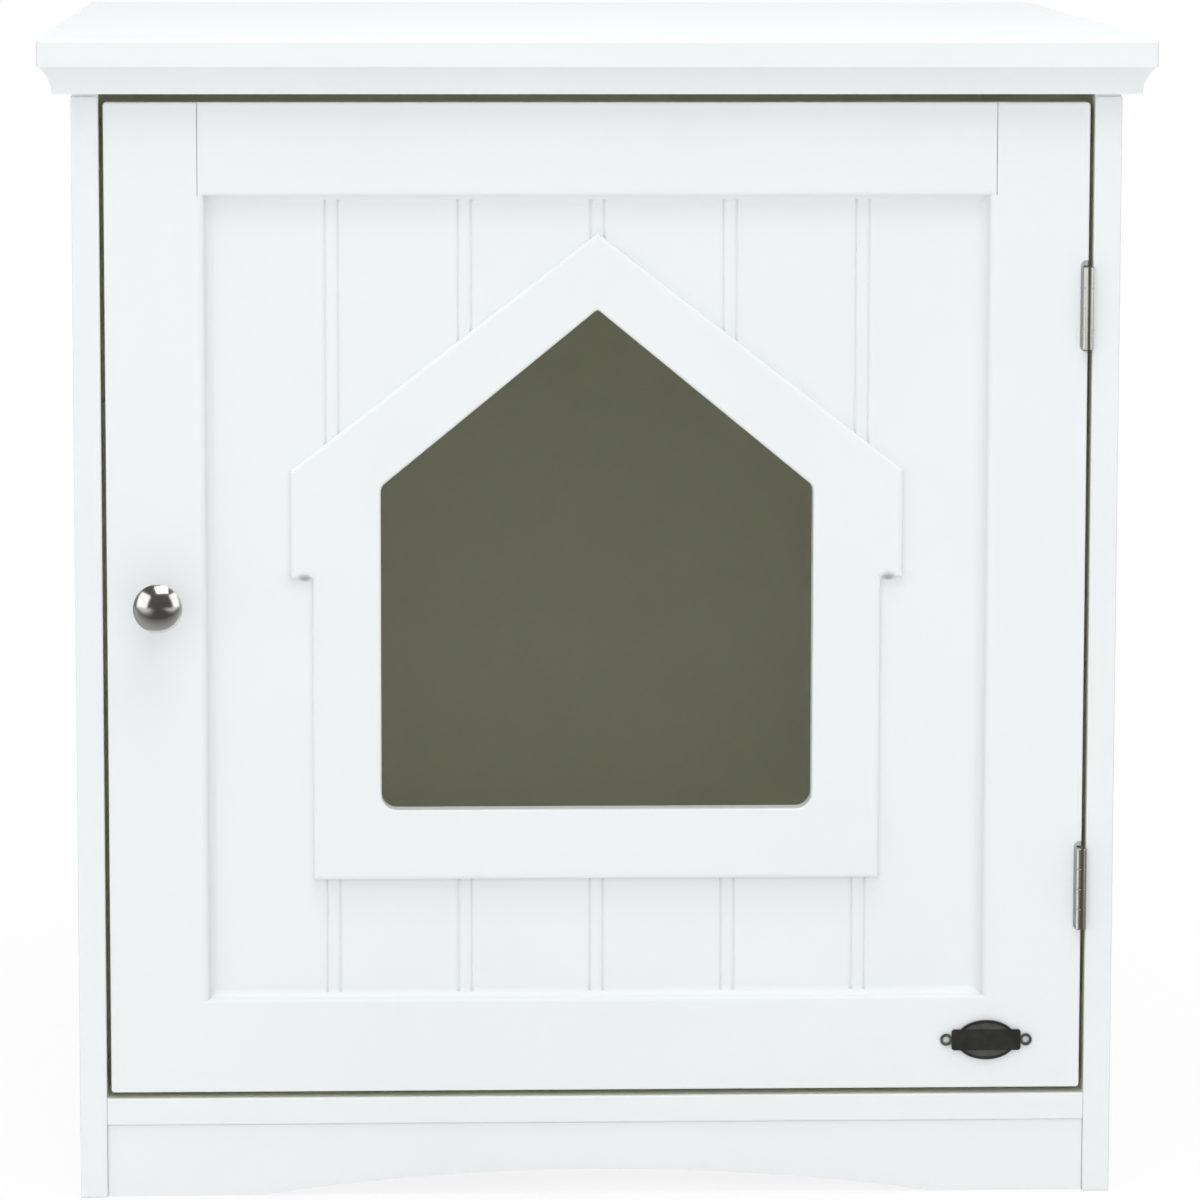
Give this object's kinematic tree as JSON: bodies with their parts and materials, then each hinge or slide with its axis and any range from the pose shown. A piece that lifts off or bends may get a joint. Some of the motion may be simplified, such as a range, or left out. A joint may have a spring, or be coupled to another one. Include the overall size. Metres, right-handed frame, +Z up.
{
  "type": "cat house cabinet",
  "caption": "White lacquered cabinet for a cat, with a coved top, an arched plinth and a hinged, beaded door that has a house-shaped entrance in a raised border.",
  "frame": {"origin": "on the floor, under the middle of the bounding box", "axes": "+X to the right as seen from the front, the door faces -Y, +Z up"},
  "size_m": [0.49, 0.521, 0.5175],
  "materials": {
    "white_lacquer": "satin white lacquer on fibreboard",
    "back_board": "matt warm white hardboard",
    "raw_wood": "bare beech",
    "zinc_steel": "bright zinc plate",
    "hinge_nickel": "nickel plate",
    "knob_chrome": "polished",
    "plate_metal": "dark gunmetal",
    "catch_plastic": "white, matt",
    "magnet": "dark ferrite"
  },
  "bodies": {
    "cabinet": {"back_panel": "back_board", "back_screws": "zinc_steel", "base_board": "white_lacquer", "cam_bolts": "zinc_steel", "cam_discs": "zinc_steel", "catch_housing": "catch_plastic", "catch_magnet": "magnet", "catch_poles": "zinc_steel", "catch_screws": "zinc_steel", "cornice_front": "white_lacquer", "cornice_left": "white_lacquer", "cornice_right": "white_lacquer", "frame_leaf_screws": "zinc_steel", "header_rail": "white_lacquer", "hinge_lower_frame_leaf": "hinge_nickel", "hinge_lower_pin": "hinge_nickel", "hinge_upper_frame_leaf": "hinge_nickel", "hinge_upper_pin": "hinge_nickel", "plinth_blocks": "raw_wood", "plinth_board": "white_lacquer", "side_panel_left": "white_lacquer", "side_panel_right": "white_lacquer", "top_board": "white_lacquer", "wood_dowels": "raw_wood"},
    "door": {"door_stile_left": "white_lacquer", "door_stile_right": "white_lacquer", "door_rail_top": "white_lacquer", "door_rail_bottom": "white_lacquer", "door_dowels": "raw_wood", "door_panel": "white_lacquer", "house_trim": "white_lacquer", "knob": "knob_chrome", "knob_screw": "zinc_steel", "hinge_upper_door_leaf": "hinge_nickel", "hinge_lower_door_leaf": "hinge_nickel", "door_leaf_screws": "zinc_steel", "strike_plate": "zinc_steel", "strike_screw": "zinc_steel", "name_plate": "plate_metal"}
  },
  "joints": [
    {"name": "door_hinge", "type": "hinge", "parent": "cabinet", "child": "door", "pos_m": [0.21705, -0.2372, 0.2686], "axis": [0, 0, 1], "range_deg": [0, 180]}
  ]
}
